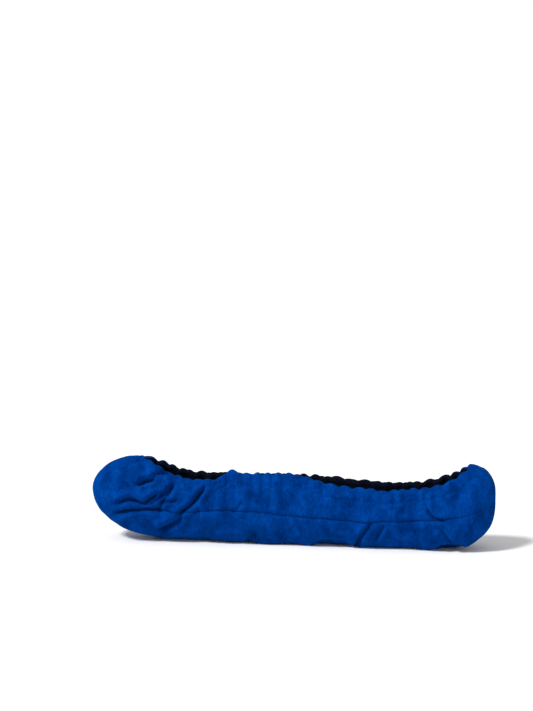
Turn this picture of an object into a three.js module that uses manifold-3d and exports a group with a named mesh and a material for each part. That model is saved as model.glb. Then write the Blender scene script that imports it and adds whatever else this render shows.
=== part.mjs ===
// Soft skate blade guard: a plush fabric cover with an elasticated mouth, worn over a figure-skate blade.
// Millimetres, +Z up, +X towards the toe, origin on the floor under the middle of the cover.
//
// The cover is a boat-shaped bag. Its outer skin is a sole panel below the side seams and an upper panel on each
// side. Inside lie an absorbent lining, a blade pad, and an elastic band in a hem that is turned in round the mouth.
// Every layer is cut from nested copies of one closed envelope, so the layers follow each other with a small gap.
// The long upper panels bend when the mouth is pulled open, so each is cut into a heel part, a lip and a toe part.
import * as THREE from "three";
import { mergeVertices } from "three/addons/utils/BufferGeometryUtils.js";
import Module from "manifold-3d";

// Envelope
const HALF_LENGTH = 161;
const TIP_Z = 40; // height of the heel and toe tips
const FLOOR_DROP = 1.5; // how far the envelope would reach below the floor, before it is flattened there
const HEEL = { start: -121, top: 67, halfWidth: 25, bottomStart: -85, bottomPower: 2 };
const TOE = { start: 137, top: 69, halfWidth: 23.5, bottomStart: 102, bottomPower: 2.8 };
const MIDDLE = { top: 74, halfWidth: 20.5, crownEnd: 60, end: 95, spread: 30 };
const WIDEST_SHARE = 0.4; // the widest place, as a share of the height
const LOWER_POWER = 2.4; // how square the section is below its widest place
const SECTION_SIDES = 22;
const END_SECTIONS = 6; // sections of the envelope at each end
const MIDDLE_SECTIONS = 11;
const CENTRE_Z = 34; // the point that the layers shrink towards

// Layers, as depths below the outer surface
const SHELL = 2.6;
const LINING = { outer: 2.9, inner: 4.9 };
const ELASTIC = { outer: 2.9, inner: 4.1 };
const HEM = { outer: 4.4, inner: 6.0 };

// Distances down from the edge of the mouth
const HEM_FOLD = 1.8; // thickness of the fold at the top of the hem
const ELASTIC_BAND = { top: 2.2, bottom: 10.2 };
const HEM_THREAD_DROP = 11.4;
const HEM_DEPTH = 13;
const LINING_DROP = 13.6;

// Joints between the panels
const GAP = 0.3;
const SEAM_GAP = 1.4; // between sewn panels, where the seam thread runs
const THREAD_RADIUS = 0.3;
const THREAD_DEPTH = 1.3;
const THREAD_STEP = 4;
const HEM_THREAD_STEPS = 160;
const SIDE_THREAD_STEPS = 56;
const END_THREAD = { steps: 12, reach: 30, heelStart: -126, toeStart: 145 };
const LIP_END = 92; // the lips reach this far each way from the middle

// Blade pad
const PAD = { length: 204, width: 10, thickness: 1.5, middle: 8 };

// Edge of the mouth, [x, z], from heel to toe. Both sides share the ends.
const RIM_HEEL = [[-131, 84], [-122, 68.5], [-112, 62], [-100, 56.5]];
const RIM_TOE = [[96, 49.5], [109, 51.5], [121, 55.5], [133, 62], [142, 70.5], [149, 86]];
const RIM_RIGHT = [
  ...RIM_HEEL, [-88, 53.8], [-74, 52], [-62, 52.8], [-54, 58], [-44, 60.5], [-18, 59.4],
  [6, 59], [17, 56.8], [27, 53], [48, 50.4], [74, 47.6], ...RIM_TOE,
];
const RIM_LEFT = [
  ...RIM_HEEL, [-84, 53.5], [-56, 53.5], [-16, 53], [22, 52.5], [56, 50.5], ...RIM_TOE,
];

// Side seam between the sole panel and the upper panels. It is straight along the lips, which hinge on it.
const SEAM = [
  [-172, 17], [-150, 19], [-132, 23], [-112, 26.5], [-LIP_END, 27.8], [LIP_END, 22.6],
  [112, 24.2], [128, 27], [141, 31], [152, 35.5], [160, 37.5], [172, 38],
];

const REACH = 60; // cutting solids reach this far past the cover
const SKY = 95; // and this high

const wasm = await Module();
wasm.setup();

const quarter = (t, power) => (1 - Math.min(Math.max(t, 0), 1) ** power) ** (1 / power);
const smooth = (t) => THREE.MathUtils.smoothstep(t, 0, 1);
const endShare = (x) =>
  x < 0 ? (HEEL.start - x) / (HALF_LENGTH + HEEL.start) : (x - TOE.start) / (HALF_LENGTH - TOE.start);

// Height of the envelope's top and bottom line, and its half width, at x.
function topAt(x) {
  const end = x < 0 ? HEEL : TOE;
  const blend = smooth((Math.abs(x) - MIDDLE.crownEnd) / (Math.abs(end.start) - MIDDLE.crownEnd));
  const crown = MIDDLE.top + (end.top - MIDDLE.top) * blend;
  return TIP_Z + (crown - TIP_Z) * quarter(endShare(x), 2);
}
function bottomAt(x) {
  const end = x < 0 ? HEEL : TOE;
  const t = (Math.abs(x) - Math.abs(end.bottomStart)) / (HALF_LENGTH - Math.abs(end.bottomStart));
  return -FLOOR_DROP + (TIP_Z + FLOOR_DROP) * (1 - quarter(t, end.bottomPower));
}
function halfWidthOf(x) {
  const end = x < 0 ? HEEL : TOE;
  const blend = smooth((Math.abs(x) - MIDDLE.end) / MIDDLE.spread);
  return (MIDDLE.halfWidth + (end.halfWidth - MIDDLE.halfWidth) * blend) * quarter(endShare(x), 2);
}

// How the envelope shrinks to the layer at a depth.
const shrink = (depth) => ({
  x: 1 - depth / HALF_LENGTH,
  y: 1 - depth / MIDDLE.halfWidth,
  z: 1 - depth / CENTRE_Z,
});

// Half width of the layer at a depth, at a place on its side.
function sideAt(x, z, depth) {
  const s = shrink(depth);
  const x0 = x / s.x;
  const z0 = CENTRE_Z + (z - CENTRE_Z) / s.z;
  const [top, bottom] = [topAt(x0), bottomAt(x0)];
  const widest = bottom + WIDEST_SHARE * (top - bottom);
  const share = z0 > widest ? quarter((z0 - widest) / (top - widest), 2)
    : quarter((widest - z0) / (widest - bottom), LOWER_POWER);
  return halfWidthOf(x0) * share * s.y;
}

function solid(geometry) {
  const bare = geometry.clone();
  bare.deleteAttribute("normal");
  bare.deleteAttribute("uv");
  const merged = mergeVertices(bare, 1e-4);
  return new wasm.Manifold(new wasm.Mesh({
    numProp: 3,
    vertProperties: merged.attributes.position.array,
    triVerts: new Uint32Array(merged.index.array),
  }));
}

// Places along the length where the envelope has a section.
function stations() {
  const found = [];
  for (let i = END_SECTIONS - 1; i > 0; i--)
    found.push(HEEL.start - (HALF_LENGTH + HEEL.start) * Math.sin((i / END_SECTIONS) * Math.PI * 0.5));
  for (let i = 0; i <= MIDDLE_SECTIONS; i++)
    found.push(HEEL.start + ((TOE.start - HEEL.start) * i) / MIDDLE_SECTIONS);
  for (let i = 1; i < END_SECTIONS; i++)
    found.push(TOE.start + (HALF_LENGTH - TOE.start) * Math.sin((i / END_SECTIONS) * Math.PI * 0.5));
  return found;
}

// The closed envelope of the layer at a depth, flat underneath.
function envelope(depth) {
  const sides = SECTION_SIDES;
  const s = shrink(depth);
  const place = (x, y, z) => [x * s.x, y * s.y, Math.max(CENTRE_Z + (z - CENTRE_Z) * s.z, depth)];
  const vertices = [];
  const faces = [];
  const rows = stations();
  for (const x of rows) {
    const [top, bottom] = [topAt(x), bottomAt(x)];
    const widest = bottom + WIDEST_SHARE * (top - bottom);
    for (let i = 0; i < sides; i++) {
      const angle = ((i + 0.5) / sides) * Math.PI * 2;
      const [c, n] = [Math.cos(angle), Math.sin(angle)];
      const power = n > 0 ? 1 : 2 / LOWER_POWER;
      const y = Math.sign(c) * Math.abs(c) ** power * halfWidthOf(x);
      const z = widest + (n > 0 ? top - widest : bottom - widest) * Math.abs(n) ** power;
      vertices.push(...place(x, y, z));
    }
  }
  const ring = (row, i) => row * sides + (i % sides);
  for (let row = 0; row + 1 < rows.length; row++)
    for (let i = 0; i < sides; i++) {
      faces.push(ring(row, i), ring(row, i + 1), ring(row + 1, i + 1));
      faces.push(ring(row, i), ring(row + 1, i + 1), ring(row + 1, i));
    }
  const heelTip = vertices.length / 3;
  vertices.push(...place(-HALF_LENGTH, 0, TIP_Z), ...place(HALF_LENGTH, 0, TIP_Z));
  for (let i = 0; i < sides; i++) {
    faces.push(heelTip, ring(0, i + 1), ring(0, i));
    faces.push(heelTip + 1, ring(rows.length - 1, i), ring(rows.length - 1, i + 1));
  }
  const geometry = new THREE.BufferGeometry();
  geometry.setAttribute("position", new THREE.Float32BufferAttribute(vertices, 3));
  geometry.setIndex(faces);
  return solid(geometry);
}

// A block with an outline in the XZ plane, from y0 to y1.
function prism(outline, y0, y1) {
  const shape = new THREE.Shape(outline.map(([x, z]) => new THREE.Vector2(x, z)));
  const geometry = new THREE.ExtrudeGeometry(shape, { depth: y1 - y0, bevelEnabled: false });
  return solid(geometry.rotateX(Math.PI / 2).translate(0, y1, 0));
}
const block = (x0, x1, z0, z1, y0 = -REACH, y1 = REACH) =>
  prism([[x0, z0], [x1, z0], [x1, z1], [x0, z1]], y0, y1);

// The edge of the mouth, moved down and outwards by a distance, as [x, z] points from heel to toe.
function rimLine(points, drop, steps = 46) {
  const curve = new THREE.SplineCurve(points.map(([x, z]) => new THREE.Vector2(x, z)));
  const found = [];
  for (let i = 0; i <= steps; i++) {
    const p = curve.getPoint(i / steps);
    const t = curve.getTangent(i / steps);
    found.push([p.x + t.y * drop, p.y - t.x * drop]);
  }
  return found;
}

// Everything within a distance of the mouth: the space above its edge, moved down by that distance.
function mouth(drop) {
  const side = (points, y0, y1) => {
    const line = rimLine(points, drop);
    return prism([...line, [line.at(-1)[0], SKY], [line[0][0], SKY]], y0, y1);
  };
  return side(RIM_RIGHT, -REACH, 0).add(side(RIM_LEFT, 0, REACH));
}

function seamAt(x) {
  const next = Math.max(1, SEAM.findIndex(([sx]) => sx > x));
  const [[x0, z0], [x1, z1]] = [SEAM[next - 1], SEAM[next]];
  return z0 + ((z1 - z0) * (x - x0)) / (x1 - x0);
}
const aboveSeam = (rise) =>
  prism([...SEAM.map(([x, z]) => [x, z + rise]), [SEAM.at(-1)[0], SKY], [SEAM[0][0], SKY]], -REACH, REACH);

// A thread of round section along points in space.
function thread(points) {
  const path = new THREE.CatmullRomCurve3(points.map((p) => new THREE.Vector3(...p)));
  const sides = 5;
  const section = new THREE.Shape();
  for (let i = 0; i < sides; i++) {
    const angle = (i / sides) * Math.PI * 2;
    section[i ? "lineTo" : "moveTo"](THREAD_RADIUS * Math.cos(angle), THREAD_RADIUS * Math.sin(angle));
  }
  const steps = Math.max(12, Math.round(path.getLength() / THREAD_STEP));
  return solid(new THREE.ExtrudeGeometry(section, { extrudePath: path, steps, bevelEnabled: false }));
}

// The hem thread lies inside the hem, below the elastic.
const HEM_THREAD_DEPTH = (SHELL + HEM.outer) / 2;
function hemPoints(points, side, from, to) {
  return rimLine(points, HEM_THREAD_DROP, HEM_THREAD_STEPS)
    .filter(([x]) => x > from && x < to)
    .map(([x, z]) => [x, side * sideAt(x, z, HEM_THREAD_DEPTH), z]);
}
function pocketHemThread(from, to) {
  const right = hemPoints(RIM_RIGHT, -1, from, to).filter(([, y]) => y < -2);
  const left = right.map(([x, y, z]) => [x, -y, z]);
  const [up, down] = from < 0 ? [right.reverse(), left.reverse()] : [right, left];
  return thread([...up, ...down.reverse()]);
}

// The side seam's thread, and the threads that close the heel and the toe along the middle.
function sideThread(side) {
  const points = [];
  for (let i = 0; i <= SIDE_THREAD_STEPS; i++) {
    const x = -Math.cos((i / SIDE_THREAD_STEPS) * Math.PI) * (HALF_LENGTH - THREAD_DEPTH);
    const y = sideAt(x, seamAt(x), THREAD_DEPTH);
    if (y > SEAM_GAP) points.push([x, side * y, seamAt(x)]);
  }
  return thread(points);
}
function endThread(end, rimPoint) {
  const s = shrink(THREAD_DEPTH);
  const sign = Math.sign(end.start);
  const points = [];
  const { steps, reach } = END_THREAD;
  const put = (x, z) => {
    if (z > seamAt(x) + SEAM_GAP) points.push([x * s.x, 0, CENTRE_Z + (z - CENTRE_Z) * s.z]);
  };
  for (let i = 0; i <= steps; i++) {
    const x = rimPoint + (sign * HALF_LENGTH - rimPoint) * Math.sin((i / steps) * Math.PI * 0.5);
    put(x, topAt(x));
  }
  for (let i = 1; i < steps; i++) {
    const x = sign * (HALF_LENGTH - reach * (i / steps) ** 2);
    put(x, bottomAt(x));
  }
  return thread(points);
}

// Layers, before they are cut into pieces
const depths = [0, SHELL, LINING.outer, ELASTIC.inner, HEM.outer, LINING.inner, HEM.inner];
const layer = new Map(depths.map((depth) => [depth, envelope(depth)]));
const between = (outer, inner) => layer.get(outer).subtract(layer.get(inner));

const outerSkin = between(0, SHELL).subtract(mouth(0));
const hemSlot = between(SHELL, HEM.outer).subtract(mouth(HEM_FOLD));
const belowHem = layer.get(ELASTIC.inner).subtract(mouth(HEM_DEPTH));
const upperSkin = between(0, HEM.inner).subtract(mouth(0)).subtract(hemSlot).subtract(belowHem);
const lining = between(LINING.outer, LINING.inner).subtract(mouth(LINING_DROP));
const elastic = between(ELASTIC.outer, ELASTIC.inner)
  .intersect(mouth(ELASTIC_BAND.bottom).subtract(mouth(ELASTIC_BAND.top)));

// Regions of the cover
const heelSpan = block(-HALF_LENGTH - REACH, -LIP_END - GAP / 2, -REACH, SKY);
const toeSpan = block(LIP_END + GAP / 2, HALF_LENGTH + REACH, -REACH, SKY);
const lipSpan = block(-LIP_END + GAP / 2, LIP_END - GAP / 2, -REACH, SKY);
const rightOf = (gap) => block(-REACH * 4, REACH * 4, -REACH, SKY, -REACH, -gap / 2);
const leftOf = (gap) => block(-REACH * 4, REACH * 4, -REACH, SKY, gap / 2, REACH);
const half = { right: rightOf(SEAM_GAP), left: leftOf(SEAM_GAP) };
const upper = upperSkin.intersect(aboveSeam(SEAM_GAP / 2));
const upperLining = lining.intersect(aboveSeam(GAP / 2));

function bladePad() {
  const shape = new THREE.Shape();
  const [reach, radius] = [(PAD.length - PAD.width) / 2, PAD.width / 2];
  shape.absarc(reach, 0, radius, -Math.PI / 2, Math.PI / 2);
  shape.absarc(-reach, 0, radius, Math.PI / 2, (Math.PI * 3) / 2);
  const geometry = new THREE.ExtrudeGeometry(shape, { depth: PAD.thickness, bevelEnabled: false, curveSegments: 8 });
  return solid(geometry.translate(PAD.middle, 0, LINING.inner + GAP));
}

// Materials
const cloth = (color, roughness) => new THREE.MeshStandardMaterial({ color, roughness, metalness: 0 });
const plush = cloth(0x01367f, 0.95);
const terry = cloth(0x0a0d1c, 1.0);
const webbing = cloth(0x1b2233, 0.9);
const rubberised = cloth(0xd9d9d4, 0.8);
const cotton = cloth(0x04245c, 0.7);

const guard = new THREE.Group();
function add(name, shape, material) {
  const made = shape.getMesh();
  const geometry = new THREE.BufferGeometry();
  geometry.setAttribute("position", new THREE.BufferAttribute(made.vertProperties, 3));
  geometry.setIndex(new THREE.BufferAttribute(made.triVerts, 1));
  geometry.computeVertexNormals();
  const mesh = new THREE.Mesh(geometry, material);
  mesh.name = name;
  guard.add(mesh);
}

add("sole_panel", outerSkin.subtract(aboveSeam(-SEAM_GAP / 2)), plush);
add("sole_lining", lining.subtract(aboveSeam(-GAP / 2)), terry);
add("blade_pad", bladePad(), webbing);

for (const side of ["right", "left"]) {
  const wall = upper.intersect(half[side]);
  const sign = side === "right" ? -1 : 1;
  const rim = side === "right" ? RIM_RIGHT : RIM_LEFT;
  add(`${side}_heel_panel`, wall.intersect(heelSpan), plush);
  add(`${side}_toe_panel`, wall.intersect(toeSpan), plush);
  add(`${side}_lip_panel`, wall.intersect(lipSpan), plush);
  add(`${side}_lip_lining`, upperLining.intersect(lipSpan).intersect(half[side]), terry);
  add(`${side}_lip_elastic`, elastic.intersect(lipSpan).intersect(half[side]), rubberised);
  add(`${side}_lip_hem_thread`, thread(hemPoints(rim, sign, 2 - LIP_END, LIP_END - 2)), cotton);
  add(`${side}_seam_thread`, sideThread(sign), cotton);
}

add("heel_lining", upperLining.intersect(heelSpan), terry);
add("toe_lining", upperLining.intersect(toeSpan), terry);
add("heel_elastic", elastic.intersect(heelSpan), rubberised);
add("toe_elastic", elastic.intersect(toeSpan), rubberised);
add("heel_hem_thread", pocketHemThread(-HALF_LENGTH, -LIP_END - 1), cotton);
add("toe_hem_thread", pocketHemThread(LIP_END + 1, HALF_LENGTH), cotton);
add("heel_seam_thread", endThread(HEEL, END_THREAD.heelStart), cotton);
add("toe_seam_thread", endThread(TOE, END_THREAD.toeStart), cotton);

export default guard;
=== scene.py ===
import math

import bmesh
import bpy
import numpy as np
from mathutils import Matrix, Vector


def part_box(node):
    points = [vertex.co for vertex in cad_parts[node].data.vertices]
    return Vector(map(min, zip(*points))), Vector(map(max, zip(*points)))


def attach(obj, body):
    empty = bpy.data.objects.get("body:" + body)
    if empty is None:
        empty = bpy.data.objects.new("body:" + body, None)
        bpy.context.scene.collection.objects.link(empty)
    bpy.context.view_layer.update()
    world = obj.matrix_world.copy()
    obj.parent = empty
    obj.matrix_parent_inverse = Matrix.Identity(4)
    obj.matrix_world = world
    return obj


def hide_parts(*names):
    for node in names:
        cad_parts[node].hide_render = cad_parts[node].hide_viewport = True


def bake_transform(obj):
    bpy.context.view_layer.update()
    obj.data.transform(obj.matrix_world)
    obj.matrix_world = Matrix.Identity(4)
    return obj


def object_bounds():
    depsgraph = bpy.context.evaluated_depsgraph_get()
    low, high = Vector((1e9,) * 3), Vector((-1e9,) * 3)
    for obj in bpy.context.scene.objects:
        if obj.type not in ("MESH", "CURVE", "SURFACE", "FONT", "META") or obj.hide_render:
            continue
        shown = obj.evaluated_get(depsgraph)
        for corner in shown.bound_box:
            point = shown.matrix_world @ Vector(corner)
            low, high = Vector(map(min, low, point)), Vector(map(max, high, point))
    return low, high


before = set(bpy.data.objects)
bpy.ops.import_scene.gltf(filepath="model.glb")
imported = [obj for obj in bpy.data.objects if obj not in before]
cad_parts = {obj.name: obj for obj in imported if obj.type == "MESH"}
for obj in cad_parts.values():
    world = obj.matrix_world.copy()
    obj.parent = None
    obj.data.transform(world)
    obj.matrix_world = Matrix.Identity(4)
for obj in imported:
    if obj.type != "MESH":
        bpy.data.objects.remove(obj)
cad_box = [list(corner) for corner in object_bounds()]

MM = 0.001


def high(node):
    """Highest corner of a CAD node, in millimetres."""
    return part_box(node)[1] / MM


# Envelope of the cover. Its lengths, widths and heights come from the CAD nodes.
HALF_LENGTH = (cad_box[1][0] - cad_box[0][0]) / 2 / MM
TIP_Z = 40
FLOOR_DROP = 1.5  # how far the envelope would reach below the floor, before it is flattened there
HEEL = {"start": -121, "top": high("left_heel_panel").z, "half": high("left_heel_panel").y,
        "flat_end": -85, "power": 2.0, "axis": -104, "crown_power": 1.95, "plan_power": 2.0}
TOE = {"start": 134, "top": high("left_toe_panel").z - 1.2, "half": high("left_toe_panel").y,
       "flat_end": 102, "power": 2.8, "axis": 118, "crown_power": 2.7, "plan_power": 2.3}
MIDDLE = {"top": 74, "half": high("left_lip_panel").y, "end": 95}
WIDEST_SHARE = 0.4
LOWER_POWER = 2.4

# Layers, as depths below the outer surface, and distances down from the edge of the mouth
SHELL = 2.6
HEM = {"inner": 6.0, "wall": 4.4, "fold": 1.8, "depth": 13.0, "stitch": 10.6}
ELASTIC = {"outer": 3.0, "inner": 4.0, "top": 2.4, "bottom": 9.8}
LINING = {"outer": 3.0, "inner": 5.0, "drop": 13.4}
SEAM_HALF_GAP = 0.15
HEM_THREAD_DEPTH = 0.35
SIDE_THREAD_DEPTH = 0.7
END_THREAD_DEPTH = 2.0

# Edge of the mouth and the side seam in side view, [x, z]
RIM_HEEL = [(-140, 100), (-131, 84), (-122, 70), (-112, 64), (-104, 60.5), (-97, 57.4)]
RIM_TOE = [(92, 49), (108, 51), (120, 54.5), (130, 59.5), (142, 70.5), (149, 86), (156, 104)]
RIM = {
    "right": RIM_HEEL + [(-88, 54.6), (-79, 52.4), (-69, 52.6), (-60, 52.8), (-53.5, 54.6), (-49, 59.2),
                         (-36, 58), (-18, 58), (0, 58.8), (10, 58), (20, 54.8), (31, 52.2), (42, 50.4),
                         (54, 49), (65, 48.4), (74, 47.6), (82, 47.6)] + RIM_TOE,
    "left": RIM_HEEL + [(-84, 53.5), (-56, 53), (-16, 52.5), (22, 52), (56, 50)] + RIM_TOE,
}
SEAM = [
    (-172, 13), (-150, 17.4), (-143, 20), (-136, 23.2), (-127, 26), (-116, 27.6), (-104, 27.2), (-92, 25.6),
    (-70, 26.5), (-45, 27.6), (-25, 27.2), (0, 25.2), (22, 23.8), (45, 22.8), (60, 21.8), (76, 22.6),
    (92, 23.6), (112, 25.4), (128, 27.4), (141, 30.6), (152, 34.4), (160, 37), (172, 38),
]

# Creases in side view: points, depth, half width, and how far the cloth swells on each side of it
CREASES = {
    "right": [
        ([(-121, 46.4), (-117.5, 47.6), (-114, 49), (-110.5, 49.8), (-106, 51.2)], 3.4, 1.5, (2.0, 1.0)),
        ([(-108, 53.6), (-104, 55), (-99, 55.6), (-93.5, 55.4)], 1.5, 1.4, (0.9, 0.6)),
        ([(-130, 61), (-125, 62.6), (-118, 65.6)], 1.0, 1.4, (0.6, 0.4)),
        ([(-128, 61), (-129.5, 54), (-126, 48), (-120, 43.5)], 1.1, 3.2, (0.8, 0.4)),
        ([(-141, 28.6), (-136, 31.4), (-130.5, 34.2), (-125, 35.6), (-119.5, 34), (-114.5, 32.4),
          (-111, 35), (-106, 38), (-100, 43)], 3.2, 1.6, (1.7, 1.0)),
        ([(-142, 20.6), (-136, 23.2), (-127, 26), (-116, 27.7), (-104, 27.4), (-96, 26.2)],
         2.0, 1.7, (0.4, 1.3)),
        ([(-113.5, 30), (-105.5, 33.6), (-99, 38.8), (-93, 45), (-89.5, 50)], 2.2, 1.7, (1.0, 1.0)),
        ([(-105, 26.6), (-102, 29.4), (-98, 35), (-94, 41), (-91, 46)], 1.8, 1.6, (0.8, 0.9)),
        ([(-101.5, 32.4), (-97, 33.6), (-92, 34.4), (-87, 36)], 1.4, 1.1, (0.7, 0.5)),
        ([(-89, 21), (-84, 26), (-78, 30.4), (-72.5, 36.6), (-67.4, 43.6), (-65, 49.5)],
         2.6, 1.6, (1.3, 1.3)),
        ([(-106, 7.6), (-100, 11), (-93, 15), (-86, 20), (-82, 24.5)], 2.1, 2.4, (1.6, 0.8)),
        ([(-45, 25), (-38, 31.4), (-34, 38)], 0.8, 1.8, (0.4, 0.4)),
        ([(-66, 6), (-58, 12), (-50, 19)], 0.8, 3.5, (0.4, 0.4)),
        ([(-34, -1), (-31, 4.5), (-24, 9)], 1.5, 2.8, (0.3, 0.3)),
        ([(108, 36), (110, 32.4), (112.5, 29.2), (116.5, 26.6), (124, 25.8)], 1.9, 1.4, (1.0, 0.9)),
        ([(106.5, 48), (107.3, 41), (108.8, 34)], 1.1, 2.0, (0.7, 0.5)),
        ([(67, 23), (63.5, 18), (60, 13), (56.5, 7.6), (53, 1), (51, -2)], 2.2, 1.6, (0.6, 0.6)),
        ([(77, 21), (74, 17), (70.5, 11.5), (67, 5)], 1.1, 1.8, (0.5, 0.5)),
        ([(118, 20.5), (121, 16.6), (124, 12), (128, 5)], 1.3, 1.9, (0.7, 0.7)),
        ([(81.8, 47), (83.5, 40), (82.5, 30)], 1.1, 2.2, (0.5, 0.5)),
        ([(126, 57), (130, 51), (134, 46)], 1.0, 2.2, (0.6, 0.6)),
        ([(110.5, 51), (113, 45), (117, 38)], 1.0, 2.2, (0.5, 0.5)),
        ([(-120, 2), (-75, 2.5), (-34, 2)], 0.8, 6, (0, 0)),
        ([(18, 2), (34, 3), (50, 2)], 1.6, 6, (0, 0)),
        ([(116, -1), (127, 1), (139, 4)], 1.5, 6, (0, 0)),
    ],
    "left": [
        ([(-96, 52), (-107, 47), (-118, 44)], 2.2, 1.8, (1.1, 1.3)),
        ([(-147, 27), (-136, 31), (-124, 31), (-112, 37), (-101, 47)], 2.2, 2.0, (1.2, 1.0)),
        ([(-141, 52), (-131, 47), (-124, 39)], 1.3, 2.4, (0.8, 0.8)),
        ([(-106, 29), (-97, 34), (-90, 41), (-86, 49)], 1.6, 1.9, (0.9, 0.8)),
        ([(-86, 26), (-78, 32), (-73, 40), (-70, 49)], 2.0, 1.7, (1.1, 1.0)),
        ([(-118, 4), (-106, 10), (-97, 19)], 1.8, 2.6, (1.0, 0.9)),
        ([(-60, -1), (-55, 6), (-46, 14)], 1.4, 2.4, (0.4, 0.4)),
        ([(8, 28), (14, 36), (16, 45)], 0.9, 2.2, (0.5, 0.5)),
        ([(30, -1), (34, 6), (42, 15)], 1.4, 2.3, (0.4, 0.4)),
        ([(98, 48), (102, 39), (109, 30), (119, 25)], 1.6, 1.9, (0.9, 0.8)),
        ([(126, 58), (127, 49), (132, 42)], 1.5, 1.9, (0.8, 0.8)),
        ([(108, 16), (116, 10), (124, 2)], 1.4, 2.2, (0.8, 0.8)),
    ],
}

CREASE_STRENGTH = 2.0
GATHER_SHIFT = {"right": 1.0, "left": 2.3}  # keeps the gathers of the two sides from matching
WAVE_SEED = {"right": 3, "left": 8}

# Meshing
COLUMN_STEP = 0.8
FAN_LENGTH = 62  # of the quarter turn round a tip
ROW_STEP = 0.8
DENSE_ROWS = 260


# ---------------------------------------------------------------- envelope

def smooth(t):
    t = np.clip(t, 0, 1)
    return t * t * (3 - 2 * t)


def quarter(t, power):
    """A quarter round from 1 down to 0 as t goes from 0 to 1."""
    return (1 - np.clip(t, 0, 1) ** power) ** (1 / power)


def by_end(x, key):
    """A measure of the heel or the toe, whichever x is nearer to."""
    return np.where(x < 0, HEEL[key], TOE[key])


def end_share(x):
    start = np.abs(by_end(x, "start"))
    return (np.abs(x) - start) / (HALF_LENGTH - start)


def end_round(x, key):
    """From 1 in the middle down to 0 at the tips."""
    share = end_share(x)
    return np.where(x < 0, quarter(share, HEEL[key]), quarter(share, TOE[key]))


def top_at(x):
    lead = 60
    blend = smooth((np.abs(x) - lead) / (np.abs(by_end(x, "start")) - lead))
    crown = MIDDLE["top"] + (by_end(x, "top") - MIDDLE["top"]) * blend
    return TIP_Z + (crown - TIP_Z) * end_round(x, "crown_power")


def bottom_at(x):
    flat_end = np.abs(by_end(x, "flat_end"))
    t = (np.abs(x) - flat_end) / (HALF_LENGTH - flat_end)
    rise = np.where(x < 0, 1 - quarter(t, HEEL["power"]), 1 - quarter(t, TOE["power"]))
    return -FLOOR_DROP + (TIP_Z + FLOOR_DROP) * rise


def half_width(x):
    spread = 30
    blend = smooth((np.abs(x) - MIDDLE["end"]) / spread)
    return (MIDDLE["half"] + (by_end(x, "half") - MIDDLE["half"]) * blend) * end_round(x, "plan_power")


def is_outside(p):
    x, y, z = p[..., 0], p[..., 1], p[..., 2]
    top, bottom, half = top_at(x), bottom_at(x), np.maximum(half_width(x), 1e-6)
    widest = bottom + WIDEST_SHARE * (top - bottom)
    above = z > widest
    reach = np.maximum(np.where(above, top - widest, widest - bottom), 1e-6)
    power = np.where(above, 2.0, LOWER_POWER)
    level = np.abs(y / half) ** power + np.abs((z - widest) / reach) ** power
    return (level > 1) | (np.abs(x) >= HALF_LENGTH)


def cast(origin, direction):
    """Where rays from inside meet the envelope."""
    low = np.zeros(direction.shape[:-1])
    far = np.full(direction.shape[:-1], HALF_LENGTH)
    for _ in range(34):
        middle = (low + far) / 2
        out = is_outside(origin + direction * middle[..., None])
        far = np.where(out, middle, far)
        low = np.where(out, low, middle)
    return origin + direction * far[..., None]


def curve_at(points, x):
    """Height of a smooth line through [x, z] points."""
    px, pz = np.array(points, float).T
    slope = np.gradient(pz, px)
    i = np.clip(np.searchsorted(px, x) - 1, 0, len(px) - 2)
    width = px[i + 1] - px[i]
    t = np.clip((x - px[i]) / width, 0, 1)
    a, b = pz[i], pz[i + 1]
    ease = t * t * (3 - 2 * t)
    lean = t * (1 - t) * ((1 - t) * slope[i] - t * slope[i + 1]) * width
    return a + (b - a) * ease + lean


def seam_at(x):
    return curve_at(SEAM, x)


# ---------------------------------------------------------------- relief of the cloth

def unit(v):
    return v / np.maximum(np.linalg.norm(v, axis=-1, keepdims=True), 1e-9)


def resampled(points, step=1.0):
    """Points along a smooth line through given points."""
    p = np.array(points, float)
    ends = np.vstack([2 * p[0] - p[1], p, 2 * p[-1] - p[-2]])
    out = []
    for a, b, c, d in zip(ends, ends[1:], ends[2:], ends[3:]):
        for t in np.linspace(0, 1, max(2, int(np.linalg.norm(c - b) / step)), endpoint=False):
            out.append(0.5 * (2 * b + (c - a) * t + (2 * a - 5 * b + 4 * c - d) * t ** 2
                              + (3 * b - a - 3 * c + d) * t ** 3))
    return np.array(out + [p[-1]])


def crease_relief(crease, x, z):
    """A valley along a line, shallow at its ends, with the cloth swelling on both sides of it."""
    points, depth, width, swell = crease
    line = resampled(points)
    reach = 6 * width
    near = ((x > line[:, 0].min() - reach) & (x < line[:, 0].max() + reach)
            & (z > line[:, 1].min() - reach) & (z < line[:, 1].max() + reach))
    relief = np.zeros_like(x)
    if not near.any():
        return relief
    p = np.stack([x[near], z[near]], -1)
    gap = p[:, None, :] - line[None, :, :]
    nearest = (gap ** 2).sum(-1).argmin(1)
    along = np.gradient(line, axis=0)[nearest]
    offset = gap[np.arange(len(p)), nearest]
    side = np.sign(along[:, 0] * offset[:, 1] - along[:, 1] * offset[:, 0])
    distance = np.linalg.norm(offset, axis=1)
    share = nearest / (len(line) - 1)
    fade = smooth(share / 0.22) * smooth((1 - share) / 0.22)
    valley = -depth * np.exp(-(distance / (0.85 * width)) ** 1.4)
    puff = np.where(side > 0, swell[0], swell[1]) * np.exp(-((distance - 2.3 * width) / (1.6 * width)) ** 2)
    relief[near] = (valley + puff) * fade
    return relief


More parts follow.
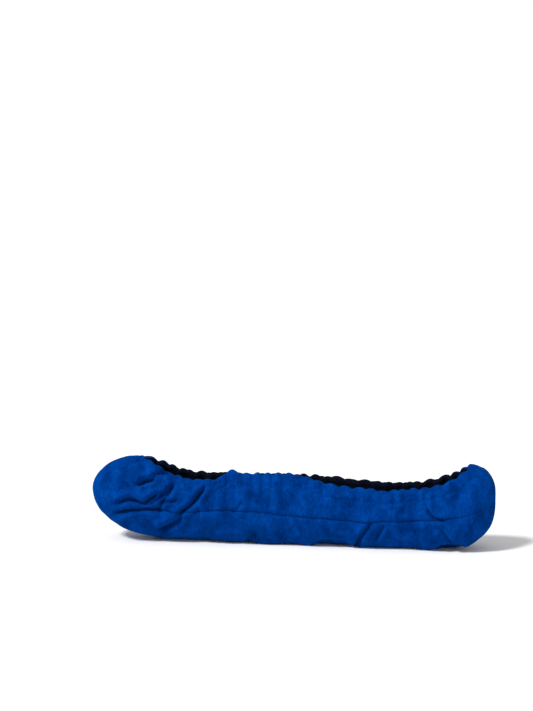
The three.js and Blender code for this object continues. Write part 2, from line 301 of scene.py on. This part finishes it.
def gather(s, shift):
    """Puffs drawn up by the elastic, from 0 to 1: round tops and narrow valleys, unevenly spaced and high."""
    phase = math.pi * (s / 12.5 + shift + 0.7 * np.sin(s / 27 + shift) + 0.34 * np.sin(s / 9.7 + 2 * shift))
    height = 0.72 + 0.28 * np.sin(s / 16.3 + 3 * shift)
    return np.abs(np.cos(phase)) ** 0.7 * height


def waves(x, z, seed, length):
    """Slow swells, the same at each run."""
    rng = np.random.default_rng(seed)
    total = np.zeros_like(x)
    for _ in range(7):
        angle = rng.uniform(0, 2 * math.pi)
        wave = length * rng.uniform(0.7, 1.5)
        across = x * math.cos(angle) + z * math.sin(angle)
        total += np.sin(2 * math.pi * across / wave + rng.uniform(0, 6.3))
    return total / 7 ** 0.5


def relief(side, p, drop, rim_s, off_seam, upper):
    """How far the cloth stands out from the envelope."""
    x, y, z = p[..., 0], p[..., 1], p[..., 2]
    seed = WAVE_SEED[side]
    total = 0.55 * waves(x, z, seed, 30) + 0.2 * waves(x, z, seed + 1, 11)
    for crease in CREASES[side]:
        total += CREASE_STRENGTH * crease_relief(crease, x, z)
    total *= smooth(np.abs(y) / 7)
    groove = -1.0 * np.exp(-(off_seam / 1.0) ** 2) + 0.3 * np.exp(-((off_seam - 4.2) / 3.0) ** 2)
    near_tip = smooth((np.abs(x + 4) - 124) / 14)
    total += groove * (1 - 0.95 * near_tip)
    if upper:
        shift = GATHER_SHIFT[side]
        ripple = (gather(rim_s, shift) - 0.55) * np.exp(-drop / 20) * smooth((drop + 5) / 9) * 2.0
        soft = (gather(rim_s * 0.6, shift + 1) - 0.55) * np.exp(-((drop - 18) / 14) ** 2) * 1.7
        stitch = -0.75 * np.exp(-((drop - HEM["stitch"]) / 1.5) ** 2)
        in_pouch = np.maximum(0, np.maximum(HEEL["start"] + 4 - x, x - TOE["start"] - 3))
        total += (ripple + soft + stitch) * np.exp(-(in_pouch / 12) ** 2)
        centre = -1.2 * np.exp(-(y / 1.1) ** 2) + 0.35 * np.exp(-((np.abs(y) - 4) / 2.5) ** 2)
        total += centre * smooth((in_pouch - 3) / 5) * smooth(off_seam / 9)
    return total


# ---------------------------------------------------------------- the skin of one side

class Skin:
    """Columns that run up one side of the cover, from the keel to the top, and fan out round both tips."""

    def __init__(self, side):
        self.side = side
        sign = -1 if side == "right" else 1
        fan = int(FAN_LENGTH / COLUMN_STEP)
        middle = int((TOE["axis"] - HEEL["axis"]) / COLUMN_STEP)
        turn = np.linspace(0, math.pi / 2, fan, endpoint=False)
        heel_reach, toe_reach = HALF_LENGTH + HEEL["axis"], HALF_LENGTH - TOE["axis"]
        flat = [(-heel_reach * math.cos(t), HEEL["half"] * math.sin(t)) for t in turn]
        flat += [(0, MIDDLE["half"])] * (middle + 1)
        flat += [(toe_reach * math.cos(t), TOE["half"] * math.sin(t)) for t in turn[::-1]]
        flat = np.array(flat)
        along_middle = np.linspace(HEEL["axis"], TOE["axis"], middle + 1)
        axis_x = np.concatenate([np.full(fan, HEEL["axis"]), along_middle, np.full(fan, TOE["axis"])])
        self.middle = fan + int(np.abs(axis_x[fan:fan + middle + 1]).argmin())
        tilt = np.linspace(-math.pi / 2, math.pi / 2, DENSE_ROWS)
        rise = 34
        centre_z = TIP_Z - 4
        origin = np.stack([axis_x, 0 * axis_x, 0 * axis_x + centre_z], -1)[:, None, :]
        ray = np.stack([
            flat[:, None, 0] * np.cos(tilt), sign * flat[:, None, 1] * np.cos(tilt),
            np.broadcast_to(rise * np.sin(tilt), (len(flat), DENSE_ROWS)),
        ], -1)
        self.points = cast(origin, unit(ray))
        z = self.points[..., 2]
        self.points[..., 2] = 0.5 * (z + np.sqrt(z ** 2 + 0.5))
        along = np.gradient(self.points, axis=1)
        across = np.gradient(self.points, axis=0)
        normal = np.cross(across, along) * (1 if side == "right" else -1)
        normal[:, :3] = (0, 0, -1)
        self.normals = unit(normal)
        step = np.linalg.norm(np.diff(self.points, axis=1), axis=-1)
        self.arc = np.concatenate([np.zeros((len(flat), 1)), np.cumsum(step, axis=1)], axis=1)
        x, z = self.points[..., 0], self.points[..., 2]
        self.seam = self.crossing(z - seam_at(x))
        self.rim = self.crossing(z - curve_at(RIM[side], x))
        edge = self.read(self.points, self.rim[:, None])[:, 0]
        self.rim_s = np.concatenate([[0], np.cumsum(np.linalg.norm(np.diff(edge, axis=0), axis=1))])
        self.rim_s -= self.rim_s[self.middle]
        scallops = np.abs(np.cos(math.pi * self.rim_s / 9.2 + 0.8 * np.sin(self.rim_s / 14)))
        self.rim = self.rim + 1.3 * (gather(self.rim_s, GATHER_SHIFT[side]) - 0.6) + 1.4 * (scallops - 0.6)

    def crossing(self, level):
        """Distance up each column at which level turns positive for good."""
        rows = level.shape[1] - 1 - (level[:, ::-1] < 0).argmax(axis=1)
        rows = np.clip(rows, 0, level.shape[1] - 2)
        i = np.arange(len(rows))
        a, b = level[i, rows], level[i, rows + 1]
        share = np.clip(a / np.where(np.abs(a - b) < 1e-9, 1, a - b), 0, 1)
        return self.arc[i, rows] + share * (self.arc[i, rows + 1] - self.arc[i, rows])

    def read(self, values, arc):
        """Values at distances up the columns."""
        out = np.empty(arc.shape + (3,))
        for c in range(len(arc)):
            for k in range(3):
                out[c, :, k] = np.interp(arc[c], self.arc[c], values[c, :, k])
        return out

    def place(self, arc, depth, upper, quiet=1.0):
        """Points at distances up the columns and depths below the cloth's surface."""
        base = self.read(self.points, arc)
        normal = unit(self.read(self.normals, arc))
        drop = self.rim[:, None] - arc
        rim_s = np.broadcast_to(self.rim_s[:, None], arc.shape)
        off_seam = np.abs(arc - self.seam[:, None])
        raised = quiet * relief(self.side, base, drop, rim_s, off_seam, upper)
        out = base + normal * (raised - depth)[..., None]
        out[..., 2] = np.maximum(out[..., 2], np.minimum(depth, 3.0) * 0.8 + 0.02)
        keep = SEAM_HALF_GAP if upper else 0
        sign = -1 if self.side == "right" else 1
        out[..., 1] = sign * np.maximum(sign * out[..., 1], keep)
        return out


SKINS = {side: Skin(side) for side in ("right", "left")}


# ---------------------------------------------------------------- meshes

def object_of(name, vertices, faces, normals=None):
    mesh = bpy.data.meshes.new(name)
    mesh.from_pydata((np.asarray(vertices) * MM).tolist(), [], faces)
    mesh.validate()
    mesh.shade_smooth()
    if normals is not None:
        mesh.normals_split_custom_set_from_vertices(normals.tolist())
    obj = bpy.data.objects.new(name, mesh)
    bpy.context.scene.collection.objects.link(obj)
    return obj


def tube(name, loops, with_normals=True):
    """A closed mesh from loops of points, one loop for each column, capped at both ends."""
    count, size = loops.shape[:2]
    column = (np.arange(count - 1) * size)[:, None]
    j = np.arange(size)[None, :]
    k = (j + 1) % size
    quads = np.stack([column + j, column + k, column + size + k, column + size + j], -1).reshape(-1, 4)
    vertices = loops.reshape(-1, 3)
    a, b, c = (vertices[quads[:, i]] for i in (0, 1, 2))
    centre = vertices.mean(0)
    volume = np.einsum("ij,ij->", a - centre, np.cross(b - centre, c - centre))
    caps = [np.arange(size)[::-1].tolist(), (np.arange(size) + (count - 1) * size).tolist()]
    if volume < 0:
        quads = quads[:, ::-1]
        caps = [cap[::-1] for cap in caps]
    normals = None
    if with_normals:
        wrapped = np.concatenate([loops[:, -1:], loops, loops[:, :1]], axis=1)
        around = (wrapped[:, 2:] - wrapped[:, :-2])
        along = np.gradient(loops, axis=0)
        normals = unit(np.cross(around, along) * (1 if volume > 0 else -1)).reshape(-1, 3)
    return vertices, quads.tolist() + caps, normals


def profile(skin, parts):
    """Arc and depth arrays for a cross-section: each part gives rows of (arc, depth) per column."""
    arc = np.concatenate([np.broadcast_to(a, (len(skin.rim), a.shape[-1])) for a, _ in parts], axis=1)
    depth = np.concatenate([np.broadcast_to(d, (len(skin.rim), np.shape(d)[-1])) for _, d in parts], axis=1)
    return arc, depth


def rows(start, end, count):
    """Evenly spaced distances from start to end, for each column."""
    share = np.linspace(0, 1, count)[None, :]
    return start[:, None] * (1 - share) + end[:, None] * share


def upper_profile(skin):
    """The upper panel's section: up the outside, over the edge of the mouth, and down the turned-in hem.

    Also gives the range of its rows that get the near-black terry, painted shade on the inside of the panel
    and hem.
    """
    radius = HEM["inner"] / 2
    rim, seam = skin.rim, skin.seam + SEAM_HALF_GAP
    fold = rim - HEM["fold"] - 0.4
    count = int(np.median(rim - seam - radius) / ROW_STEP)
    roll = np.linspace(0, math.pi, 11)[1:-1]
    tuck = np.array([[2.4, 1.6, 0.8]])
    face, wall, inside = 10, 6, 22
    before_roll = tuck.shape[1] + count
    painted_shade_rows = (before_roll + 3, before_roll + len(roll) + face + wall + inside)
    return painted_shade_rows, profile(skin, [
        (seam[:, None] + 0 * tuck, tuck),
        (rows(seam, rim - radius, count), np.zeros((1, count))),
        (rim[:, None] - radius + radius * np.sin(roll), radius - radius * np.cos(roll)[None, :]),
        (rows(rim - radius, rim - HEM["depth"], face), np.full((1, face), HEM["inner"])),
        (rows(rim - HEM["depth"], fold, wall), np.full((1, wall), HEM["wall"])),
        (rows(fold, seam, inside), np.full((1, inside), SHELL)),
    ])


def blended(obj):
    """Bakes the object's transform into its mesh."""
    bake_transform(obj)


def paint_shade_on_faces(obj, size, painted_shade_rows):
    """Gives the near-black terry, which is painted shade, to the faces between two places in the section."""
    # painted shade: the panel's inner faces get the near-black terry
    obj.data.materials.append(PAINTED_SHADE_TERRY)
    first = np.array([polygon.vertices[0] for polygon in obj.data.polygons]) % size
    last = np.array([polygon.vertices[1] for polygon in obj.data.polygons]) % size
    lowest = np.minimum(first, last)
    inside = (lowest >= painted_shade_rows[0]) & (lowest < painted_shade_rows[1])
    obj.data.polygons.foreach_set("material_index", inside.astype(int).tolist())


def halves(side, loops, name, material, painted_shade_rows=None):
    """Builds a band of cloth along one side as two pieces that meet in the middle."""
    skin = SKINS[side]
    made = {}
    _, _, normals = tube(name, loops)
    normals = normals.reshape(loops.shape)
    for end, span in (("heel", slice(0, skin.middle + 1)), ("toe", slice(skin.middle, None))):
        vertices, faces, _ = tube(name, loops[span], with_normals=False)
        obj = object_of(f"{side}_{end}_{name}", vertices, faces, normals[span].reshape(-1, 3))
        obj.data.materials.append(material)
        # rows on the inside take the near-black terry as painted shade
        if painted_shade_rows:
            paint_shade_on_faces(obj, loops.shape[1], painted_shade_rows)
        blended(obj)
        made[end] = obj
    return made


# ---------------------------------------------------------------- materials

class Nodes:
    """Short calls for building a material's nodes."""

    def __init__(self, name):
        self.material = bpy.data.materials.new(name)
        self.material.use_nodes = True
        self.tree = self.material.node_tree
        self.shader = self.tree.nodes["Principled BSDF"]
        self.place = self.tree.nodes.new("ShaderNodeTexCoord").outputs["Object"]

    def node(self, kind, inputs=(), **settings):
        made = self.tree.nodes.new(kind)
        for key, value in settings.items():
            setattr(made, key, value)
        for key, value in dict(inputs).items():
            if isinstance(value, bpy.types.NodeSocket):
                self.tree.links.new(value, made.inputs[key])
            else:
                made.inputs[key].default_value = value
        return made

    def stretched(self, x, y, z):
        return self.node("ShaderNodeMapping", {"Vector": self.place, "Scale": (x, y, z)}).outputs["Vector"]

    def noise(self, size_mm, detail=2.0, vector=None, rough=0.55):
        return self.node("ShaderNodeTexNoise", {"Vector": vector or self.place, "Scale": 1 / (size_mm * MM),
                                                "Detail": detail, "Roughness": rough}).outputs["Fac"]

    def ramp(self, value, low, high_, colours):
        made = self.node("ShaderNodeValToRGB", {"Fac": value})
        made.color_ramp.elements[0].position, made.color_ramp.elements[1].position = low, high_
        made.color_ramp.elements[0].color = (*colours[0], 1)
        made.color_ramp.elements[1].color = (*colours[1], 1)
        return made.outputs["Color"]

    def mix(self, share, a, b, mode="MIX"):
        made = self.node("ShaderNodeMix", data_type="RGBA", blend_type=mode)
        for key, value in ((0, share), (6, a), (7, b)):
            if isinstance(value, bpy.types.NodeSocket):
                self.tree.links.new(value, made.inputs[key])
            else:
                made.inputs[key].default_value = value
        return made.outputs[2]

    def maths(self, operation, a, b):
        return self.node("ShaderNodeMath", {0: a, 1: b}, operation=operation).outputs[0]

    def bump(self, height, distance_mm, strength=1.0, normal=None):
        inputs = {"Height": height, "Distance": distance_mm * MM, "Strength": strength}
        if normal is not None:
            inputs["Normal"] = normal
        return self.node("ShaderNodeBump", inputs).outputs["Normal"]

    def finish(self, **sockets):
        for key, value in sockets.items():
            socket = self.shader.inputs[key.replace("_", " ")]
            if isinstance(value, bpy.types.NodeSocket):
                self.tree.links.new(value, socket)
            else:
                socket.default_value = value
        return self.material


def plush_material():
    """Royal blue velour: short pile that lies in brushed patches and lightens where it is seen edge-on."""
    n = Nodes("plush_velour")
    patches = n.noise(9, 3.0, n.stretched(1.0, 1.0, 0.6))
    tufts = n.noise(1.5, 3.0, n.stretched(1.0, 1.0, 0.55), 0.65)
    colour = n.ramp(patches, 0.32, 0.7, ((0.0, 0.024, 0.155), (0.0003, 0.054, 0.31)))
    shade = n.ramp(tufts, 0.3, 0.72, ((0.52, 0.55, 0.60), (1.0, 1.0, 1.0)))
    colour = n.mix(1.0, colour, shade, "MULTIPLY")
    fibres = n.noise(0.42, 2.0, n.stretched(1.0, 1.0, 0.5), 0.7)
    normal = n.bump(patches, 1.4, 0.45)
    normal = n.bump(tufts, 0.55, 0.6, normal)
    normal = n.bump(fibres, 0.35, 0.7, normal)
    return n.finish(Base_Color=colour, Roughness=0.92, Normal=normal, Specular_IOR_Level=0.0,
                    Sheen_Weight=0.25, Sheen_Roughness=0.4, Sheen_Tint=(0.0, 0.25, 0.8, 1))


def painted_shade_terry_material():
    """Terry with small loops in rows, coloured near-black navy as painted shade for the inside of the cover.
    """
    n = Nodes("terry_lining_painted_shade")
    loops = n.node("ShaderNodeTexVoronoi", {"Vector": n.stretched(1.0, 1.0, 1.25), "Scale": 1 / (1.3 * MM),
                                            "Randomness": 0.75}).outputs["Distance"]
    patches = n.noise(6, 3.0)
    # painted shade: the near-black colour makes the inside of the cover read as in shadow
    colour = n.ramp(loops, 0.05, 0.75, ((0.006, 0.009, 0.022), (0.0012, 0.002, 0.006)))
    colour = n.mix(0.6, colour, n.ramp(patches, 0.3, 0.7, ((0.55, 0.55, 0.6), (1, 1, 1))), "MULTIPLY")
    bumps = n.bump(n.maths("SUBTRACT", 1.0, loops), 0.9, 0.9)
    return n.finish(Base_Color=colour, Roughness=0.95, Normal=bumps, Specular_IOR_Level=0.03)


def webbing_material():
    """Dense twill webbing in dark slate."""
    n = Nodes("pad_webbing")
    turn = (0, 0, math.radians(40))
    twill = n.node("ShaderNodeMapping", {"Vector": n.place, "Rotation": turn}).outputs["Vector"]
    wave = n.node("ShaderNodeTexWave", {"Vector": twill, "Scale": 0.5 / (1.1 * MM) / math.pi,
                                        "Distortion": 0.6, "Detail": 1.0,
                                        "Detail Scale": 300.0}).outputs["Fac"]
    worn = n.noise(7, 3.0)
    colour = n.ramp(wave, 0.2, 0.9, ((0.010, 0.014, 0.028), (0.030, 0.040, 0.070)))
    colour = n.mix(0.5, colour, n.ramp(worn, 0.3, 0.7, ((0.6, 0.6, 0.62), (1, 1, 1))), "MULTIPLY")
    return n.finish(Base_Color=colour, Roughness=0.8, Normal=n.bump(wave, 0.35, 0.8), Specular_IOR_Level=0.25)


def elastic_material():
    """White knitted elastic with ribs along it."""
    n = Nodes("knitted_elastic")
    ribs = n.node("ShaderNodeTexWave", {"Vector": n.place, "Scale": 0.5 / (1.2 * MM) / math.pi,
                                        "Distortion": 0.4, "Detail": 1.0, "Detail Scale": 200.0},
                  bands_direction="Z").outputs["Fac"]
    knit = n.noise(0.6, 2.0)
    colour = n.ramp(ribs, 0.2, 0.8, ((0.50, 0.50, 0.47), (0.78, 0.78, 0.75)))
    normal = n.bump(knit, 0.2, 0.5, n.bump(ribs, 0.3, 0.8))
    return n.finish(Base_Color=colour, Roughness=0.75, Normal=normal, Specular_IOR_Level=0.25)


def thread_material():
    """Blue spun thread with a fine twist."""
    n = Nodes("sewing_thread")
    twist = n.node("ShaderNodeMapping", {"Vector": n.place, "Rotation": (0.5, 0.4, 0.9)}).outputs["Vector"]
    wave = n.node("ShaderNodeTexWave", {"Vector": twist, "Scale": 0.5 / (0.3 * MM) / math.pi,
                                        "Distortion": 0.5}).outputs["Fac"]
    colour = n.ramp(wave, 0.2, 0.8, ((0.0, 0.024, 0.14), (0.0003, 0.045, 0.25)))
    return n.finish(Base_Color=colour, Roughness=0.6, Normal=n.bump(wave, 0.08, 0.7), Specular_IOR_Level=0.05)


PLUSH = plush_material()
# near-black terry: painted shade for the inside of the cover
PAINTED_SHADE_TERRY = painted_shade_terry_material()
WEBBING = webbing_material()
KNIT = elastic_material()
THREAD = thread_material()


# ---------------------------------------------------------------- pieces

def make_upper(side):
    """The long upper panel of one side, with its turned-in hem."""
    painted_shade_rows, (arc, depth) = upper_profile(SKINS[side])
    made = halves(side, SKINS[side].place(arc, depth, True), "upper_cloth", PLUSH, painted_shade_rows)
    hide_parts(f"{side}_heel_panel", f"{side}_lip_panel")
    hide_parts(f"{side}_toe_panel")


def make_upper_lining(side):
    """The lining behind one upper panel, from the side seam to just below the hem."""
    skin = SKINS[side]
    top, bottom = skin.rim - LINING["drop"], skin.seam + 0.2
    count = 30
    arc, depth = profile(skin, [
        (rows(bottom, top, count), np.full((1, count), LINING["inner"])),
        (top[:, None] + 0.5, np.full((1, 1), 4.0)),
        (rows(top, bottom, 12), np.full((1, 12), LINING["outer"])),
    ])
    # the near-black terry on this lining is painted shade
    made = halves(side, skin.place(arc, depth, True, 0.8), "upper_lining", PAINTED_SHADE_TERRY)
    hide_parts(f"{side}_lip_lining", "heel_lining")
    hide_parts("toe_lining")


def make_elastic(side):
    """The elastic band in the hem."""
    skin = SKINS[side]
    top, bottom = skin.rim - ELASTIC["top"], skin.rim - ELASTIC["bottom"]
    arc, depth = profile(skin, [
        (rows(bottom, top, 8), np.full((1, 8), ELASTIC["outer"])),
        (rows(top, bottom, 8), np.full((1, 8), ELASTIC["inner"])),
    ])
    made = halves(side, skin.place(arc, depth, True), "hem_elastic", KNIT)
    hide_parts(f"{side}_lip_elastic", "heel_elastic")
    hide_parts("toe_elastic")


def whole_round(name, build, material):
    """Joins the right and left halves of a bag-shaped skin along the keel, into one closed mesh."""
    columns = []
    for side in ("right", "left"):
        loops = build(SKINS[side])
        columns.append(loops if side == "right" else loops[::-1])
    loops = np.concatenate(columns)
    count, size = loops.shape[:2]
    i = np.arange(count)[:, None]
    following = (i + 1) % count
    j = np.arange(size - 1)[None, :]
    quads = np.stack([i * size + j, i * size + j + 1, following * size + j + 1, following * size + j], -1)
    obj = object_of(name, loops.reshape(-1, 3), quads.reshape(-1, 4).tolist())
    weld = bmesh.new()
    weld.from_mesh(obj.data)
    bmesh.ops.remove_doubles(weld, verts=weld.verts, dist=0.02 * MM)
    bmesh.ops.recalc_face_normals(weld, faces=weld.faces)
    weld.to_mesh(obj.data)
    weld.free()
    obj.data.shade_smooth()
    obj.data.materials.append(material)
    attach(obj, "cover")
    return obj


def make_sole():
    """The sole panel, from one side seam under the cover to the other."""
    def build(skin):
        seam = skin.seam - SEAM_HALF_GAP
        count = int(np.median(seam) / ROW_STEP)
        tuck = np.array([[0.8, 1.6, 2.4]])
        keel = np.zeros_like(seam)
        inside = 18
        arc, depth = profile(skin, [
            (rows(keel, seam, count), np.zeros((1, count))),
            (seam[:, None] + 0 * tuck, tuck),
            (rows(seam, keel, inside), np.full((1, inside), SHELL)),
        ])
        return skin.place(arc, depth, False)
    obj = whole_round("sole_cloth", build, PLUSH)
    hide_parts("sole_panel")


def make_sole_lining():
    """The lining of the sole. Its sewn edge is a soft roll, which covers the join at the side seams."""
    def build(skin):
        seam = skin.seam - 0.2
        keel = np.zeros_like(seam)
        turn = np.linspace(-0.5, 1.0, 9) * math.pi
        roll_arc = 2.4 + 5.6 * np.sin(turn)
        roll_depth = 6.6 + 1.1 * np.cos(turn)
        count, inside = 26, 14
        arc, depth = profile(skin, [
            (rows(keel, seam - 4, count), np.full((1, count), LINING["inner"])),
            (seam[:, None] + roll_arc, roll_depth[None, :]),
            (seam[:, None] - 0.4, np.full((1, 1), LINING["outer"] + 1.6)),
            (rows(seam, keel, inside), np.full((1, inside), LINING["outer"])),
        ])
        return skin.place(arc, depth, False, 0.8)
    # the near-black terry on this lining is painted shade
    obj = whole_round("sole_terry", build, PAINTED_SHADE_TERRY)
    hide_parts("sole_lining")


def make_pad():
    """The blade pad: a strip of webbing with rounded ends and two sewn channels along it."""
    low, top = (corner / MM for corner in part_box("blade_pad"))
    half, middle = (top.y - low.y) / 2, (top.x + low.x) / 2
    length = top.x - low.x
    stations = np.linspace(-1, 1, 260)
    x = middle + (length / 2) * np.sin(stations * math.pi / 2)
    from_end = length / 2 - np.abs(x - middle)
    width = half * quarter(1 - np.clip(from_end / half, 0.0, 1), 2) + 0.05
    across = np.linspace(-1, 1, 31)
    y = across[None, :] * width[:, None]
    channel = np.exp(-((np.abs(y) - half * 0.66) / 0.45) ** 2)
    crown = quarter(np.abs(across)[None, :] ** 2, 4)
    ripple = 0.12 * np.sin(x / 2.9) * np.sin(x / 7.7 + 1)
    upper = low.z + 0.3 + (top.z - low.z - 0.3) * crown - 0.35 * channel + ripple[:, None] * 0.5
    under = np.full_like(upper, low.z)
    xs = np.broadcast_to(x[:, None], y.shape)
    loops = np.concatenate([np.stack([xs, y, upper], -1), np.stack([xs, y, under], -1)[:, ::-1]], axis=1)
    vertices, faces, _ = tube("pad", loops, with_normals=False)
    obj = object_of("quilted_blade_pad", vertices, faces)
    obj.data.materials.append(WEBBING)
    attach(obj, "cover")
    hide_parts("blade_pad")
    path = np.stack([x, 0 * x + half * 0.66, 0 * x + top.z - 0.28], -1)[14:-14]
    both = [path, path * (1, -1, 1)]
    stitches("pad_stitches", both, np.array([0, 0, 1.0]), "cover")


def stitch_mesh(points, up):
    """Short threads laid end to end along a line, each dipping into the cloth at its ends."""
    spacing, length, radius = 2.9, 2.2, 0.26
    arc = np.concatenate([[0], np.cumsum(np.linalg.norm(np.diff(points, axis=0), axis=1))])
    rings, sides = 7, 6
    vertices, faces = [], []
    for start in np.arange(1.0, arc[-1] - spacing, spacing):
        s = np.linspace(start, start + length, rings)
        centre = np.stack([np.interp(s, arc, points[:, k]) for k in range(3)], -1)
        out = unit(np.stack([np.interp(s, arc, up[:, k]) for k in range(3)], -1))
        t = np.linspace(-1, 1, rings)
        centre = centre + out * (0.32 * (1 - t ** 2) - 0.12)[:, None]
        forward = unit(np.gradient(centre, axis=0))
        sideways = unit(np.cross(forward, out))
        thick = radius * np.sqrt(np.clip(1.02 - t ** 2, 0.03, 1))
        base = len(vertices)
        for r in range(rings):
            for q in range(sides):
                a = 2 * math.pi * q / sides
                offset = thick[r] * (math.cos(a) * sideways[r] + math.sin(a) * out[r])
                vertices.append(centre[r] + offset)
        for r in range(rings - 1):
            for q in range(sides):
                a, b = base + r * sides + q, base + r * sides + (q + 1) % sides
                faces.append((a, a + sides, b + sides, b))
        faces.append(tuple(base + q for q in range(sides)))
        faces.append(tuple(base + (rings - 1) * sides + q for q in reversed(range(sides))))
    return vertices, faces


def stitches(name, lines, up, body=None):
    """A row of stitches along each line, as one piece. Without a body, the caller bakes its transform."""
    vertices, faces = [], []
    for line in lines:
        ups = np.broadcast_to(up, line.shape) if np.ndim(up) == 1 else up
        v, f = stitch_mesh(line, ups)
        faces += [tuple(i + len(vertices) for i in face) for face in f]
        vertices += v
    obj = object_of(name, vertices, faces)
    obj.data.materials.append(THREAD)
    if body:
        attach(obj, body)
    return obj


def surface_line(skin, arc, depth, upper):
    """A line on the cloth, one point for each column, and the outward direction there."""
    points = skin.place(arc[:, None], np.full((len(arc), 1), depth), upper)[:, 0]
    outer = skin.place(arc[:, None], np.full((len(arc), 1), depth - 1), upper)[:, 0]
    return points, unit(outer - points)


def make_hem_stitches(side):
    """The row of stitches below the elastic."""
    skin = SKINS[side]
    points, out = surface_line(skin, skin.rim - HEM["stitch"], HEM_THREAD_DEPTH, True)
    spans = {"heel": slice(0, skin.middle + 1), "toe": slice(skin.middle, None)}
    for end, span in spans.items():
        keep = np.abs(points[span][:, 1]) > 1.5
        line, up = points[span][keep], out[span][keep]
        obj = stitches(f"{side}_{end}_hem_stitches", [line], up)
        blended(obj)
        if side == "right":
            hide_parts(f"{end}_hem_thread", f"{side}_lip_hem_thread")
        else:
            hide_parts(f"{side}_lip_hem_thread")


def make_seam_stitches(side):
    """The stitches that close the side seam, down in its groove."""
    skin = SKINS[side]
    points, out = surface_line(skin, skin.seam, SIDE_THREAD_DEPTH, False)
    obj = stitches(f"{side}_seam_stitches", [points], out, "cover")
    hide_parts(f"{side}_seam_thread")


def make_end_stitches(end, column):
    """The stitches that close the heel or the toe along its middle."""
    skin = SKINS["right"]
    margin, count = 2, 90
    arc = np.linspace(skin.seam[column] + margin, skin.rim[column] - margin, count)
    base = np.stack([np.interp(arc, skin.arc[column], skin.points[column, :, k]) for k in range(3)], -1)
    out = unit(np.stack([np.interp(arc, skin.arc[column], skin.normals[column, :, k]) for k in range(3)], -1))
    base[:, 1] = 0
    out[:, 1] = 0
    out = unit(out)
    obj = stitches(f"{end}_seam_stitches", [base - out * END_THREAD_DEPTH], out, "cover")
    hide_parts(f"{end}_seam_thread")


for side in ("right", "left"):
    make_upper(side)
    make_upper_lining(side)
    make_elastic(side)
    make_hem_stitches(side)
    make_seam_stitches(side)
make_sole()
make_sole_lining()
make_pad()
make_end_stitches("heel", 0)
make_end_stitches("toe", -1)


# ---------------------------------------------------------------- floor, light and camera

def make_stage():
    bpy.ops.mesh.primitive_plane_add(size=8, location=(0, 0, -0.0002))
    floor = bpy.context.object
    floor.name = "studio_floor"
    n = Nodes("pale_floor")
    speckle = n.noise(40, 2.0)
    floor.data.materials.append(n.finish(
        Base_Color=n.ramp(speckle, 0.3, 0.7, ((0.80, 0.80, 0.80), (0.84, 0.84, 0.84))), Roughness=0.9))


def make_lamp(data, place, target):
    lamp = bpy.data.objects.new(data.name, data)
    bpy.context.scene.collection.objects.link(lamp)
    lamp.location = place
    lamp.rotation_euler = (Vector(target) - Vector(place)).to_track_quat("-Z", "Y").to_euler()


def make_lights():
    world = bpy.data.worlds.new("studio")
    world.use_nodes = True
    nodes, links = world.node_tree.nodes, world.node_tree.links
    background = nodes["Background"]
    background.inputs["Color"].default_value = (1, 1, 1, 1)
    rays = nodes.new("ShaderNodeLightPath")
    level = nodes.new("ShaderNodeMapRange")
    level.inputs["To Min"].default_value = 0.62  # what lights the scene
    level.inputs["To Max"].default_value = 1.0  # what the camera sees
    links.new(rays.outputs["Is Camera Ray"], level.inputs["Value"])
    links.new(level.outputs["Result"], background.inputs["Strength"])
    bpy.context.scene.world = world
    key = bpy.data.lights.new("key", "SUN")
    key.energy, key.angle = 3.5, math.radians(12)
    make_lamp(key, (0, 0, 0), (0.9, 0.9, -1.4))
    fill = bpy.data.lights.new("fill", "AREA")
    fill.shape = "DISK"
    fill.size, fill.energy = 1.2, 3
    make_lamp(fill, (1.3, -1.4, 0.6), (0, 0, 0.03))
    bpy.context.scene.view_settings.view_transform = "Standard"


def make_camera():
    """Main view: slightly above the cover, turned a little towards its toe."""
    azimuth, height, distance = math.radians(9), 0.292, 1.3
    aim = Vector((-0.0196, 0, 0.149))
    framed = 0.5565  # height of the view at the cover
    sensor = 36
    data = bpy.data.cameras.new("camera")
    data.sensor_width = sensor
    data.lens = sensor * distance / framed
    camera = bpy.data.objects.new("camera", data)
    bpy.context.scene.collection.objects.link(camera)
    camera.location = (aim.x + distance * math.sin(azimuth), -distance * math.cos(azimuth), height)
    camera.rotation_euler = (aim - camera.location).to_track_quat("-Z", "Y").to_euler()
    bpy.context.scene.camera = camera


make_stage()
make_lights()
make_camera()
